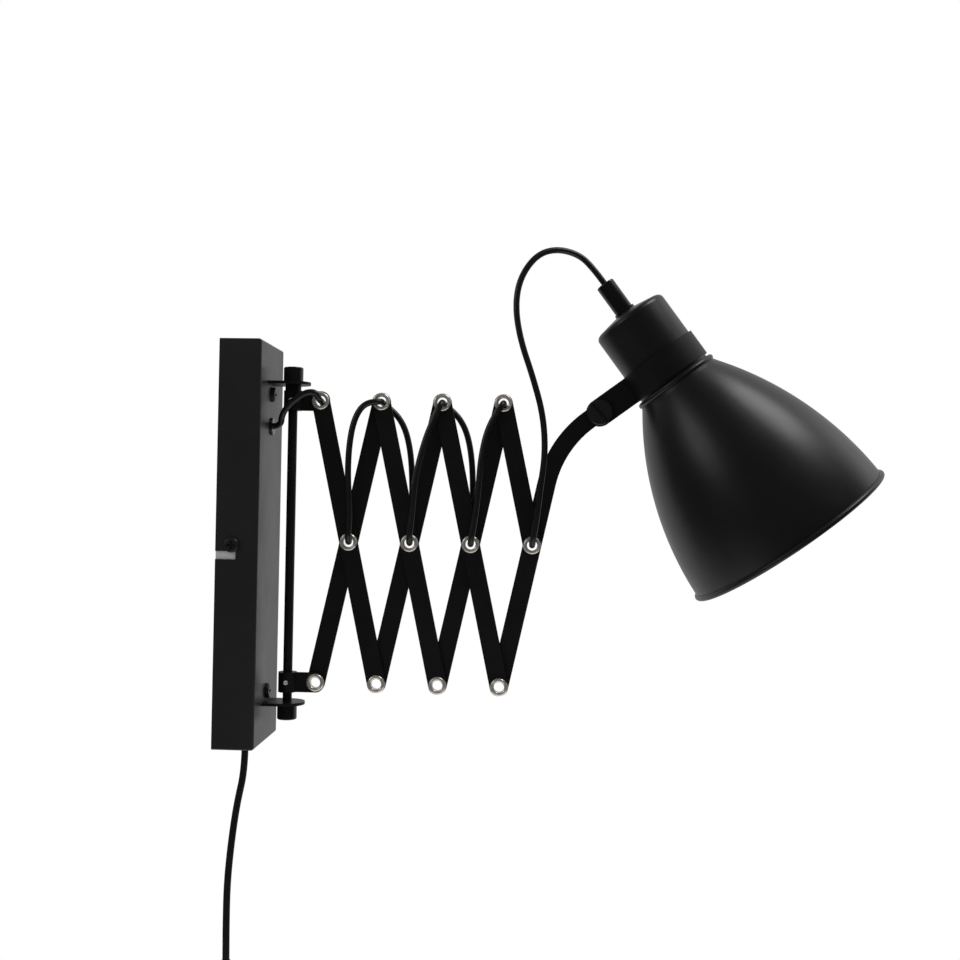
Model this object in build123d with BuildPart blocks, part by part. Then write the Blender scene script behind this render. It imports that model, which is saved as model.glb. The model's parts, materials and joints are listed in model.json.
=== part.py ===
"""Accordion wall lamp: a sheet-metal wall housing, a rod that swings, a scissor arm and a tilting shade.

Millimetres. X leaves the wall, Y runs along the wall, Z is up. The origin is the middle of the
back face of the bracket, on the wall. The model stands as the lamp hangs, half closed.
"""

import os
from math import atan2, cos, degrees, dist, hypot, pi, radians, sin, sqrt, tan

from build123d import *

os.makedirs("parts", exist_ok=True)

# ---------------------------------------------------------------- driving sizes
# wall housing and the bracket behind it
housing_height = 280.0
housing_width = 70.0
housing_depth = 29.0
housing_wall = 1.2
housing_bend = 2.0            # outer radius of the folded front edges
housing_corner = 1.2          # outer radius of the short corners
bracket_height = 150.0
bracket_thickness = 2.0
bracket_side_gap = 0.2
tab_height = 24.0
tab_depth = 19.0
tab_low = 14.0                # how far the tab reaches below the side screw's level
wall_slot_spacing = 76.0
wall_slot_width = 5.0
wall_slot_length = 10.0

# pan-head screws that hold the housing and the ears
screw_radius = 2.5
screw_head_radius = 5.25
screw_head_height = 2.6
screw_length = 7.0
screw_recess = 1.3
thread_gap = 0.02
clearance_gap = 0.25
side_screw_x = 11.3
side_screw_z = -1.0
notch_height = 5.5            # the level leg of the side slot
notch_drop = 7.05             # middle of the level leg, below the side screw

# ears, rod and sleeves
ear_level = 112.5             # middle of each ear above or below the origin
ear_thickness = 2.0
ear_radius = 12.4
ear_flange = 16.0
ear_screw_drop = 8.0
ear_slot_gap = 0.2
rod_standoff = 15.0           # rod axis in front of the housing
rod_radius = 3.25
running_gap = 0.05
cap_radius = 6.9
cap_height = 10.5
cap_grip = 7.0
cap_round = 1.0
face_gap = 0.1
spacer_radius = 5.6
spacer_height = 3.8
sleeve_radius = 6.5
sleeve_height = 14.0
sleeve_reach = 20.0           # rod axis to the first pivots
set_screw_radius = 1.6
set_screw_length = 3.1

# scissor arm
cells = 4                     # crossings, each with a bar of either hand
half_bar = 101.5
fold_angle = 12.25            # bars from the vertical
bar_width = 13.0
bar_thickness = 2.0
bar_gap = 0.3                 # between the near and the far bars
bar_overhang = 6.2
bar_end_flat = 0.8            # left between the two rounds of a bar's end
bar_corner = (bar_width - bar_end_flat) / 2
bar_edge = 0.35
bend_start = 44.7             # last bar: straight stretch past its crossing
bend_radius = 76.2
bend_angle = 47.6

# hollow rivets at the pivots
eyelet_bore = 3.6
eyelet_wall = 0.5
eyelet_flange = 6.2
eyelet_dome = 0.85
eyelet_play = 0.1

# tilting head
head_tilt = 53.5              # shade axis below the horizontal
pivot_to_rim = 144.5
pivot_to_axis = 55.6
strap_width = 19.0
strap_thickness = 1.6
strap_gap = 0.15
cover_radius = 27.2
cover_wall = 1.0
cover_top = 187.5
cover_crown = 3.5
cover_round = 4.0
clamp_gap = 0.1
pivot_radius = 3.0
pivot_head_radius = 8.75
pivot_head_height = 4.0
pivot_slot_width = 2.0
pivot_slot_depth = 1.4
pivot_slot_turn = -48.0
nut_across = 10.0
nut_height = 5.0
shade_radius = 75.0
shade_wall = 1.0
shade_bead = 1.9
shade_shoulder = 127.0
shade_shoulder_radius = 31.5
shade_waist = 75.5
shade_waist_radius = 59.3
neck_bead = 2.0
neck_radius = 28.8
neck_top = 133.3
holder_radius = 20.0
holder_thread_radius = 19.6
holder_bore = 14.3
holder_low = 124.0
holder_shoulder = 25.6
holder_shoulder_height = 2.0
holder_high = 172.0
boss_radius = 9.0
shell_wall = 0.6
socket_depth = 28.5
ring_radius = 26.5
ring_height = 6.9
bulb_radius = 30.0
bulb_base_radius = 13.0
bulb_base_height = 26.0
bulb_centre = 78.0
bulb_neck_turn = 35.0
grip_radius = 6.65
grip_height = 23.0
grip_flange_radius = 7.7
grip_flange_height = 2.0
grip_stem_radius = 5.0
grip_stem = 11.0
grip_lead_length = 13.0         # straight cord above the grip

# cords
arm_cord_radius = 2.2
cord_play = 0.05
cord_plane = 6.0              # arm cord's middle in front of or behind the bars
mains_radius = 2.5
mains_x = 14.7
arm_exit_z = 82.0
bush_radius = 6.3
bush_neck_radius = 4.6
bush_flange = 1.6
bush_collar_step = 0.6

# terminal block
block_width = 22.0
block_height = 16.0
block_depth = 13.0
block_z = 20.0
pole_spacing = 11.0
terminal_row = 8.0
terminal_screw_radius = 1.7
terminal_screw_length = 5.0
terminal_recess = 1.0

# inline switch, put-away coil and plug
switch_x = 10.0
switch_y = -22.0
switch_top = -306.0
switch_height = 56.0
switch_width = 24.0
switch_depth = 16.0
switch_round = 3.5
rocker_length = 14.0
rocker_width = 8.0
rocker_turn = 7.0
rocker_gap = 0.35
coil_radius = 41.0
coil_pitch = 6.4
coil_layer = 6.0
coil_half_turns = 7           # half turns in the first layer
coil_drop = 38.0              # coil middle below the switch
tail_length = 40.0
tie_width = 9.0
tie_thickness = 1.2
tie_gap = 0.3
plug_width = 35.3
plug_depth = 13.7
plug_height = 30.0
plug_neck = 5.0
plug_face = 8.0
plug_taper = 8.0
pin_radius = 2.0
pin_length = 19.0
pin_spacing = 19.0

# ---------------------------------------------------------------- worked-out places
half_height = housing_height / 2
half_width = housing_width / 2
inner_face = housing_depth - housing_wall
rod_x = housing_depth + rod_standoff
first_pivot_x = rod_x + sleeve_reach
ear_under = ear_level - ear_thickness / 2
top_pivot_z = ear_under - 2 * face_gap - spacer_height - sleeve_height / 2
fold = radians(fold_angle)
pitch = 2 * half_bar * sin(fold)
rise = half_bar * cos(fold)
near_back = -bar_gap / 2                     # back face of the near bars
far_back = bar_gap / 2 + bar_thickness       # back face of the far bars
stack = bar_gap / 2 + bar_thickness          # half of the two bars' stack
eyelet_radius = eyelet_bore + eyelet_wall
eyelet_hole = eyelet_radius + running_gap


def top_pivot(i):
    return first_pivot_x + i * pitch, top_pivot_z


def middle_pivot(i):
    return first_pivot_x + (i + 0.5) * pitch, top_pivot_z - rise


def bottom_pivot(i):
    return first_pivot_x + i * pitch, top_pivot_z - 2 * rise


# the last bar bends over to the head's pivot
last_x, last_z = middle_pivot(cells - 1)
bend = radians(bend_angle)
bend_up = bend_start + bend_radius * sin(bend)
bend_out = bend_radius * (1 - cos(bend))
pivot_x = last_x + bend_up * sin(fold) + bend_out * cos(fold)
pivot_z = last_z + bend_up * cos(fold) - bend_out * sin(fold)
head_y = (far_back + bar_gap / 2) / 2

# head frame: heights run from the middle of the shade's rim towards the cord grip
tilt = radians(head_tilt)
across = Vector(sin(tilt), 0, cos(tilt))
back_up = Vector(-cos(tilt), 0, sin(tilt))
rim_middle = Vector(pivot_x, head_y, pivot_z) - back_up * pivot_to_rim + across * pivot_to_axis
head_section = Plane(origin=rim_middle, x_dir=across, z_dir=(0, -1, 0))
head_axis = Axis(rim_middle, back_up)
tab_y = bar_thickness / 2 + strap_gap        # inner face of a tab from the head's middle plane
clamp_low = pivot_to_rim - strap_width / 2


def head_level(height):
    """A plane square to the shade's axis, its X away from the pivot and its Y along the wall."""
    return Plane(origin=rim_middle + back_up * height, x_dir=across, z_dir=back_up)


def finish(builder, name):
    """Name a piece and write it."""
    builder.part.label = name
    export_step(builder.part, f"parts/{name}.step")


# ---------------------------------------------------------------- screws
def pan_screw(place):
    """A pan head standing on the plane, with a cross recess, and its shank below."""
    with BuildPart() as screw:
        with BuildSketch(place):
            Circle(screw_head_radius)
        extrude(amount=screw_head_height)
        rim = screw.edges().filter_by(GeomType.CIRCLE).sort_by(SortBy.DISTANCE)
        crown = [e for e in rim if place.to_local_coords(e.center()).Z > screw_head_height / 2]
        fillet(crown, radius=screw_head_height * 0.6)
        with BuildSketch(place):
            Circle(screw_radius)
        extrude(amount=-screw_length)
        with BuildSketch(place.offset(screw_head_height)):
            with Locations((0, 0)):
                Rectangle(screw_head_radius * 1.1, screw_recess)
                Rectangle(screw_recess, screw_head_radius * 1.1)
        extrude(amount=-screw_head_height * 0.55, mode=Mode.SUBTRACT)
    return screw.part


near_side = Plane(origin=(side_screw_x, -half_width, side_screw_z), x_dir=(1, 0, 0), z_dir=(0, -1, 0))
far_side = Plane(origin=(side_screw_x, half_width, side_screw_z), x_dir=(-1, 0, 0), z_dir=(0, 1, 0))
ear_screw_z = ear_level - ear_screw_drop
front_high = Plane(origin=(housing_depth, 0, ear_screw_z), x_dir=(0, 1, 0), z_dir=(1, 0, 0))
front_low = Plane(origin=(housing_depth, 0, -ear_screw_z), x_dir=(0, 1, 0), z_dir=(1, 0, 0))

with BuildPart() as pan_screws:
    for place in (near_side, far_side, front_high, front_low):
        add(pan_screw(place))
finish(pan_screws, "pan_screws")

# ---------------------------------------------------------------- wall bracket
tab_out = half_width - housing_wall - bracket_side_gap
with BuildPart() as wall_bracket:
    with BuildSketch(Plane.YZ):
        RectangleRounded(2 * tab_out, bracket_height, 3.0)
        with Locations((0, -wall_slot_spacing / 2), (0, wall_slot_spacing / 2)):
            SlotOverall(wall_slot_length, wall_slot_width, rotation=90, mode=Mode.SUBTRACT)
    extrude(amount=bracket_thickness)
    for side in (-1, 1):
        with BuildSketch(Plane.XZ.offset(side * tab_out)):
            with Locations((tab_depth / 2, side_screw_z - tab_low + tab_height / 2)):
                Rectangle(tab_depth, tab_height)
            with Locations((side_screw_x, side_screw_z)):
                Circle(screw_radius + thread_gap, mode=Mode.SUBTRACT)
        extrude(amount=-side * bracket_thickness)
finish(wall_bracket, "wall_bracket")

# ---------------------------------------------------------------- housing
with BuildPart() as housing:
    with BuildSketch(Plane.YZ):
        Rectangle(housing_width, housing_height)
    extrude(amount=housing_depth)
    fillet(housing.edges().filter_by(Axis.X), radius=housing_corner)
    fillet(housing.faces().sort_by(Axis.X)[-1].edges(), radius=housing_bend)
    with BuildSketch(Plane.YZ):
        RectangleRounded(
            housing_width - 2 * housing_wall, housing_height - 2 * housing_wall, housing_corner * 0.5
        )
    extrude(amount=inner_face, mode=Mode.SUBTRACT)
    # the side slot: in from the back edge, then up to the screw
    slot_half = screw_radius + clearance_gap
    level_z = side_screw_z - notch_drop
    with BuildSketch(Plane.XZ.offset(-half_width - 1)) as slot_shape:
        with Locations(((side_screw_x + slot_half) / 2 - 1, level_z)):
            Rectangle(side_screw_x + slot_half + 2, notch_height)
        with Locations((side_screw_x, (level_z + side_screw_z) / 2)):
            Rectangle(2 * slot_half, side_screw_z - level_z + notch_height / 2)
        with Locations((side_screw_x, side_screw_z)):
            Circle(slot_half)
    extrude(amount=housing_width + 2, mode=Mode.SUBTRACT)
    # ears, screws and the cord leave through the front
    with BuildSketch(Plane.YZ.offset(inner_face - 1)):
        with Locations((0, ear_level), (0, -ear_level)):
            Rectangle(2 * (ear_radius + ear_slot_gap), ear_thickness + 2 * ear_slot_gap)
        with Locations((0, ear_screw_z), (0, -ear_screw_z)):
            Circle(screw_radius + clearance_gap)
        with Locations((0, arm_exit_z)):
            Circle(bush_neck_radius + running_gap)
    extrude(amount=housing_wall + 2, mode=Mode.SUBTRACT)
    with BuildSketch(Plane.XY.offset(-half_height - 1)):
        with Locations((mains_x, 0)):
            Circle(bush_neck_radius + running_gap)
    extrude(amount=housing_wall + 2, mode=Mode.SUBTRACT)
finish(housing, "housing")

# ---------------------------------------------------------------- ears
with BuildPart() as ears:
    for side in (-1, 1):
        with BuildSketch(Plane.XY.offset(side * ear_level - ear_thickness / 2)):
            with Locations(((inner_face - ear_thickness + rod_x) / 2, 0)):
                Rectangle(rod_x - inner_face + ear_thickness, 2 * ear_radius)
            with Locations((rod_x, 0)):
                Circle(ear_radius)
                Circle(rod_radius + running_gap, mode=Mode.SUBTRACT)
        extrude(amount=ear_thickness)
        with BuildSketch(Plane.YZ.offset(inner_face - ear_thickness)):
            with Locations((0, side * (ear_level + ear_thickness / 2 - ear_flange / 2))):
                Rectangle(2 * ear_radius, ear_flange)
            with Locations((0, side * ear_screw_z)):
                Circle(screw_radius + thread_gap, mode=Mode.SUBTRACT)
        extrude(amount=ear_thickness)
finish(ears, "ears")

# ---------------------------------------------------------------- rod, caps and spacer
cap_seat = ear_level + ear_thickness / 2 + face_gap
with BuildPart() as pivot_rod:
    with BuildSketch(Plane.XY.offset(-cap_seat - cap_grip)):
        with Locations((rod_x, 0)):
            Circle(rod_radius)
    extrude(amount=2 * (cap_seat + cap_grip))
finish(pivot_rod, "pivot_rod")

with BuildPart() as rod_caps:
    for side in (-1, 1):
        seat = Plane.XY.offset(side * cap_seat)
        with BuildSketch(seat):
            with Locations((rod_x, 0)):
                Circle(cap_radius)
        extrude(amount=side * cap_height)
        with BuildSketch(seat):
            with Locations((rod_x, 0)):
                Circle(rod_radius)
        extrude(amount=side * cap_grip, mode=Mode.SUBTRACT)
    ends = rod_caps.faces().filter_by(Plane.XY).sort_by(Axis.Z)
    fillet(ends[0].edges() + ends[-1].edges(), radius=cap_round)
finish(rod_caps, "rod_caps")

with BuildPart() as spacer:
    with BuildSketch(Plane.XY.offset(ear_under - face_gap - spacer_height)):
        with Locations((rod_x, 0)):
            Circle(spacer_radius)
            Circle(rod_radius + running_gap, mode=Mode.SUBTRACT)
    extrude(amount=spacer_height)
finish(spacer, "spacer")


# ---------------------------------------------------------------- sleeves and their screws
def sleeve(pivot, back_face):
    """A tube on the rod with a flat strap out to the pivot."""
    x, z = pivot
    with BuildPart() as piece:
        with BuildSketch(Plane.XY.offset(z - sleeve_height / 2)):
            with Locations((rod_x, 0)):
                Circle(sleeve_radius)
        extrude(amount=sleeve_height)
        with BuildSketch(Plane.XZ.offset(-back_face)) as strap:
            with Locations(((rod_x + x + bar_overhang) / 2, z)):
                Rectangle(x + bar_overhang - rod_x, sleeve_height)
            strap_corner = min(bar_corner, (sleeve_height - bar_end_flat) / 2)
            fillet(strap.vertices().group_by(Axis.X)[-1], radius=strap_corner)
        extrude(amount=bar_thickness)
        fillet(piece.faces().sort_by(Axis.X)[-1].edges().filter_by(Axis.Z), radius=bar_edge)
        with BuildSketch(Plane.XZ.offset(-back_face)):
            with Locations((x, z)):
                Circle(eyelet_hole)
        extrude(amount=bar_thickness, mode=Mode.SUBTRACT)
        with BuildSketch(Plane.XY.offset(z - sleeve_height / 2)):
            with Locations((rod_x, 0)):
                Circle(rod_radius + running_gap)
        extrude(amount=sleeve_height, mode=Mode.SUBTRACT)
        with BuildSketch(Plane.XZ.offset(rod_radius)):
            with Locations((rod_x, z)):
                Circle(set_screw_radius + thread_gap)
        extrude(amount=sleeve_radius, mode=Mode.SUBTRACT)
    return piece


upper_sleeve = sleeve(top_pivot(0), far_back)
finish(upper_sleeve, "upper_sleeve")
lower_sleeve = sleeve(bottom_pivot(0), near_back)
finish(lower_sleeve, "lower_sleeve")


def grub_screw(z):
    """A headless screw with a slot, from the rod out to just inside the sleeve's skin."""
    with BuildPart() as screw:
        with BuildSketch(Plane.XZ.offset(rod_radius + face_gap)):
            with Locations((rod_x, z)):
                Circle(set_screw_radius)
        extrude(amount=set_screw_length)
        with BuildSketch(Plane.XZ.offset(rod_radius + face_gap + set_screw_length)):
            with Locations((rod_x, z)):
                Rectangle(2 * set_screw_radius, 0.5)
        extrude(amount=-0.8, mode=Mode.SUBTRACT)
    return screw


upper_set_screw = grub_screw(top_pivot(0)[1])
finish(upper_set_screw, "upper_set_screw")
lower_drag_screw = grub_screw(bottom_pivot(0)[1])
finish(lower_drag_screw, "lower_drag_screw")


# ---------------------------------------------------------------- scissor bars
def ease_faces(piece):
    """Take the sharp edge off both flat faces of a bar."""
    rims = piece.edges().group_by(Axis.Y)
    fillet(rims[0] + rims[-1], radius=bar_edge)


def bar(start, stop, back_face, holes):
    """A flat bar between two pivots, running past both."""
    length = hypot(stop[0] - start[0], stop[1] - start[1])
    turn = degrees(atan2(stop[1] - start[1], stop[0] - start[0]))
    middle = Location(((start[0] + stop[0]) / 2, (start[1] + stop[1]) / 2), turn)
    with BuildPart() as piece:
        with BuildSketch(Plane.XZ.offset(-back_face)):
            with Locations(middle):
                RectangleRounded(length + 2 * bar_overhang, bar_width, bar_corner)
            with Locations(*holes):
                Circle(eyelet_hole, mode=Mode.SUBTRACT)
        extrude(amount=bar_thickness)
        ease_faces(piece)
    return piece


for i in range(cells):
    high, crossing = top_pivot(i), middle_pivot(i)
    if i < cells - 1:
        low = bottom_pivot(i + 1)
        falling = bar(high, low, near_back, [high, crossing, low])
    else:
        falling = bar(high, crossing, near_back, [high, crossing])
    finish(falling, f"bar_a{i + 1}")

for i in range(cells - 1):
    low, crossing, high = bottom_pivot(i), middle_pivot(i), top_pivot(i + 1)
    rising = bar(low, high, far_back, [low, crossing, high])
    finish(rising, f"bar_b{i + 1}")

# the last far bar runs on past its crossing and bends over to the head
bar_frame = Plane(
    origin=(last_x, far_back, last_z), x_dir=(cos(fold), 0, -sin(fold)), z_dir=(0, -1, 0)
)
half_bar_width = bar_width / 2


def on_bend(radius, angle):
    return bend_radius - radius * cos(angle), bend_start + radius * sin(angle)


with BuildPart() as head_arm:
    with BuildSketch(bar_frame) as outline:
        outer, inner = bend_radius + half_bar_width, bend_radius - half_bar_width
        foot = -half_bar - bar_overhang
        tip_middle = on_bend(bend_radius, bend)
        tip = (tip_middle[0] + half_bar_width * sin(bend), tip_middle[1] + half_bar_width * cos(bend))
        with BuildLine():
            Line((-half_bar_width, foot), (-half_bar_width, bend_start))
            ThreePointArc((-half_bar_width, bend_start), on_bend(outer, bend / 2), on_bend(outer, bend))
            ThreePointArc(on_bend(outer, bend), tip, on_bend(inner, bend))
            ThreePointArc(on_bend(inner, bend), on_bend(inner, bend / 2), (half_bar_width, bend_start))
            Line((half_bar_width, bend_start), (half_bar_width, foot))
            Line((half_bar_width, foot), (-half_bar_width, foot))
        make_face()
        fillet(outline.vertices().group_by(Axis.Y)[0], radius=bar_corner)
        with Locations((0, -half_bar), (0, 0)):
            Circle(eyelet_hole, mode=Mode.SUBTRACT)
        with Locations(tip_middle):
            Circle(pivot_radius + running_gap, mode=Mode.SUBTRACT)
    extrude(amount=bar_thickness)
    ease_faces(head_arm)
finish(head_arm, f"bar_b{cells}")


# ---------------------------------------------------------------- hollow rivets
eyelet_seat = stack + eyelet_play
eyelet_crest = ((eyelet_bore + eyelet_flange) / 2, eyelet_seat + eyelet_dome)
eyelet_sets = {"eyelet_top_1": [top_pivot(0)], "eyelet_bottom_1": [bottom_pivot(0)]}
for i in range(cells):
    if i < cells - 1:
        eyelet_sets[f"eyelets_a{i + 1}"] = [middle_pivot(i), bottom_pivot(i + 1)]
        eyelet_sets[f"eyelet_b{i + 1}"] = [top_pivot(i + 1)]
    else:
        eyelet_sets[f"eyelets_a{i + 1}"] = [middle_pivot(i)]
for name, pivots in eyelet_sets.items():
    with BuildPart() as eyelets:
        for x, z in pivots:
            with BuildSketch(Plane((x, 0, z))):
                with BuildLine():
                    Line((eyelet_bore, -eyelet_seat), (eyelet_bore, eyelet_seat))
                    ThreePointArc(
                        (eyelet_bore, eyelet_seat), eyelet_crest, (eyelet_flange, eyelet_seat)
                    )
                    Line((eyelet_flange, eyelet_seat), (eyelet_radius, eyelet_seat))
                    Line((eyelet_radius, eyelet_seat), (eyelet_radius, -eyelet_seat))
                    Line((eyelet_radius, -eyelet_seat), (eyelet_flange, -eyelet_seat))
                    ThreePointArc(
                        (eyelet_flange, -eyelet_seat),
                        (eyelet_crest[0], -eyelet_crest[1]),
                        (eyelet_bore, -eyelet_seat),
                    )
                make_face()
            revolve(axis=Axis((x, 0, z), (0, 1, 0)))
    finish(eyelets, name)

# ---------------------------------------------------------------- head clamp and its pivot
clamp_inner = cover_radius + clamp_gap
clamp_outer = clamp_inner + strap_thickness
tab_end = pivot_to_axis
with BuildPart() as head_clamp:
    with BuildSketch(head_level(clamp_low)):
        Circle(clamp_outer)
        Circle(clamp_inner, mode=Mode.SUBTRACT)
        with Locations((-clamp_inner, 0)):
            Rectangle(2 * strap_thickness + 2, 2 * tab_y, mode=Mode.SUBTRACT)
    extrude(amount=strap_width)
    for side in (-1, 1):
        near = tab_y if side < 0 else -tab_y - strap_thickness
        with BuildSketch(head_section.offset(near)):
            with Locations((-(tab_end + clamp_inner) / 2 - 0.15, clamp_low + strap_width / 2)):
                Rectangle(tab_end - clamp_inner - 0.3, strap_width)
            with Locations((-tab_end, clamp_low + strap_width / 2)):
                Circle(strap_width / 2)
                Circle(pivot_radius + running_gap, mode=Mode.SUBTRACT)
        extrude(amount=strap_thickness)
finish(head_clamp, "head_clamp")

pivot_front = head_y - tab_y - strap_thickness
pivot_back = head_y + tab_y + strap_thickness
with BuildPart() as pivot_screw:
    with BuildSketch(Plane.XZ.offset(-pivot_front)):
        with Locations((pivot_x, pivot_z)):
            Circle(pivot_head_radius)
    extrude(amount=pivot_head_height)
    chamfer(pivot_screw.faces().sort_by(Axis.Y)[0].edges(), length=0.5)
    with BuildSketch(Plane.XZ.offset(-pivot_front)):
        with Locations((pivot_x, pivot_z)):
            Circle(pivot_radius)
    extrude(amount=-(pivot_back - pivot_front + nut_height + 1))
    with BuildSketch(Plane.XZ.offset(pivot_head_height - pivot_front)):
        with Locations(Location((pivot_x, pivot_z), pivot_slot_turn)):
            Rectangle(2 * pivot_head_radius + 1, pivot_slot_width)
    extrude(amount=-pivot_slot_depth, mode=Mode.SUBTRACT)
finish(pivot_screw, "pivot_screw")

with BuildPart() as pivot_nut:
    with BuildSketch(Plane.XZ.offset(-pivot_back)):
        with Locations((pivot_x, pivot_z)):
            RegularPolygon(nut_across / 2, 6, major_radius=False)
            Circle(pivot_radius + thread_gap, mode=Mode.SUBTRACT)
    extrude(amount=-nut_height)
finish(pivot_nut, "pivot_nut")

# ---------------------------------------------------------------- shade
with BuildPart() as shade:
    with BuildSketch(head_section):
        with BuildLine():
            ThreePointArc(
                (shade_radius, 0),
                (shade_waist_radius, shade_waist),
                (shade_shoulder_radius, shade_shoulder),
            )
            Line((shade_shoulder_radius, shade_shoulder), (neck_radius, neck_top - neck_bead))
            Line((neck_radius, neck_top - neck_bead), (neck_radius, neck_top))
            Line((neck_radius, neck_top), (holder_radius + 0.2, neck_top))
            Line((holder_radius + 0.2, neck_top), (holder_radius + 0.2, neck_top - shade_wall))
            Line(
                (holder_radius + 0.2, neck_top - shade_wall),
                (neck_radius - shade_wall, neck_top - shade_wall),
            )
            Line(
                (neck_radius - shade_wall, neck_top - shade_wall),
                (shade_shoulder_radius - shade_wall, shade_shoulder - shade_wall / 2),
            )
            ThreePointArc(
                (shade_shoulder_radius - shade_wall, shade_shoulder - shade_wall / 2),
                (shade_waist_radius - shade_wall, shade_waist - shade_wall / 2),
                (shade_radius - shade_wall, 0),
            )
            Line((shade_radius - shade_wall, 0), (shade_radius, 0))
        make_face()
        with Locations((shade_radius, 0)):
            Circle(shade_bead)
        with Locations((neck_radius, neck_top - neck_bead)):
            Circle(neck_bead)
    revolve(axis=head_axis)
finish(shade, "shade")

with BuildPart() as shade_ring:
    with BuildSketch(head_section):
        ring_middle = (ring_radius + holder_thread_radius) / 2 + thread_gap
        with Locations((ring_middle, neck_top - shade_wall - ring_height / 2)):
            Rectangle(ring_radius - holder_thread_radius - 2 * thread_gap, ring_height)
    revolve(axis=head_axis)
    with BuildSketch(head_level(neck_top - shade_wall - ring_height)):
        with PolarLocations(ring_radius + 0.6, 12):
            Circle(1.6)
    extrude(amount=ring_height, mode=Mode.SUBTRACT)
finish(shade_ring, "shade_ring")

# ---------------------------------------------------------------- lampholder and its cover
cover_peak = cover_top + cover_crown
holder_roof = cover_peak - cover_wall
with BuildPart() as lampholder:
    with BuildSketch(head_section):
        with BuildLine():
            Polyline(
                (holder_bore, holder_low),
                (holder_thread_radius, holder_low),
                (holder_thread_radius, neck_top),
                (holder_shoulder, neck_top),
                (holder_shoulder, neck_top + holder_shoulder_height),
                (holder_radius, neck_top + holder_shoulder_height),
                (holder_radius, holder_high),
                (boss_radius, holder_high),
                (boss_radius, holder_roof),
                (grip_stem_radius, holder_roof),
                (grip_stem_radius, cover_peak - grip_stem),
                (0, cover_peak - grip_stem),
                (0, holder_low + socket_depth),
                (holder_bore, holder_low + socket_depth),
                close=True,
            )
        make_face()
    revolve(axis=head_axis)
finish(lampholder, "lampholder")

with BuildPart() as socket_shell:
    with BuildSketch(head_section):
        with Locations((holder_bore - shell_wall / 2 - thread_gap, holder_low + socket_depth / 2)):
            Rectangle(shell_wall, socket_depth - 2)
        with Locations((holder_bore / 4, holder_low + socket_depth - shell_wall)):
            Rectangle(holder_bore / 2, 2 * shell_wall)
    revolve(axis=head_axis)
finish(socket_shell, "socket_shell")

with BuildPart() as lampholder_cover:
    with BuildSketch(head_section) as wall_shape:
        with BuildLine():
            Polyline(
                (cover_radius, neck_top),
                (cover_radius, cover_top),
                (boss_radius, cover_peak),
                (grip_stem_radius + thread_gap, cover_peak),
                (grip_stem_radius + thread_gap, cover_peak - cover_wall),
                (boss_radius, cover_peak - cover_wall),
                (cover_radius - cover_wall, cover_top - cover_wall),
                (cover_radius - cover_wall, neck_top),
                close=True,
            )
        make_face()
        fillet(wall_shape.vertices().sort_by_distance((cover_radius, cover_top))[0], radius=cover_round)
        inside = (cover_radius - cover_wall, cover_top - cover_wall)
        fillet(wall_shape.vertices().sort_by_distance(inside)[0], radius=cover_round - cover_wall)
    revolve(axis=head_axis)
finish(lampholder_cover, "lampholder_cover")

# ---------------------------------------------------------------- cord grip
grip_top = cover_peak + grip_height + grip_flange_height
with BuildPart() as cord_grip:
    with BuildSketch(head_section) as grip_shape:
        with BuildLine():
            bore = arm_cord_radius + cord_play
            Polyline(
                (bore, cover_peak - grip_stem),
                (grip_stem_radius, cover_peak - grip_stem),
                (grip_stem_radius, cover_peak),
                (grip_flange_radius, cover_peak),
                (grip_flange_radius, cover_peak + grip_flange_height),
                (grip_radius, cover_peak + grip_flange_height),
                (grip_radius, grip_top),
                (bore, grip_top),
                close=True,
            )
        make_face()
        fillet(grip_shape.vertices().sort_by_distance((grip_radius, grip_top))[0], radius=1.0)
    revolve(axis=head_axis)
finish(cord_grip, "cord_grip")

# ---------------------------------------------------------------- bulb
base_low = holder_low + 1.0
with BuildPart() as bulb_base:
    with BuildSketch(head_section):
        with BuildLine():
            Polyline(
                (0, base_low),
                (bulb_base_radius, base_low),
                (bulb_base_radius, base_low + bulb_base_height - 5),
                (bulb_base_radius * 0.45, base_low + bulb_base_height - 1),
                (bulb_base_radius * 0.35, base_low + bulb_base_height),
                (0, base_low + bulb_base_height),
                close=True,
            )
        make_face()
    revolve(axis=head_axis)
finish(bulb_base, "bulb_base")

neck_turn = radians(bulb_neck_turn)
with BuildPart() as bulb_globe:
    with BuildSketch(head_section):
        with BuildLine():
            waist = (bulb_radius * cos(neck_turn), bulb_centre + bulb_radius * sin(neck_turn))
            ThreePointArc((0, bulb_centre - bulb_radius), (bulb_radius, bulb_centre), waist)
            TangentArc(waist, (bulb_base_radius, base_low), tangent=(-sin(neck_turn), cos(neck_turn)))
            Line((bulb_base_radius, base_low), (0, base_low))
            Line((0, base_low), (0, bulb_centre - bulb_radius))
        make_face()
    revolve(axis=head_axis)
finish(bulb_globe, "bulb_globe")


# ---------------------------------------------------------------- bushes and terminal block
def bush(place, bore):
    """A bush pressed into the sheet: a lip outside, a neck through the sheet, a collar inside."""
    with BuildPart() as piece:
        with BuildSketch(place):
            Circle(bush_radius)
        extrude(amount=bush_flange)
        lip_face = piece.faces().sort_by_distance(place.origin + place.z_dir * housing_width)[0]
        fillet(lip_face.edges(), radius=bush_flange / 2)
        with BuildSketch(place):
            Circle(bush_neck_radius)
        extrude(amount=-housing_wall)
        with BuildSketch(place.offset(-housing_wall)):
            Circle(bush_radius - bush_collar_step)
        extrude(amount=-bush_flange)
        with BuildSketch(place.offset(-housing_wall - bush_flange)):
            Circle(bore)
        extrude(amount=housing_wall + 2 * bush_flange, mode=Mode.SUBTRACT)
    return piece


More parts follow.
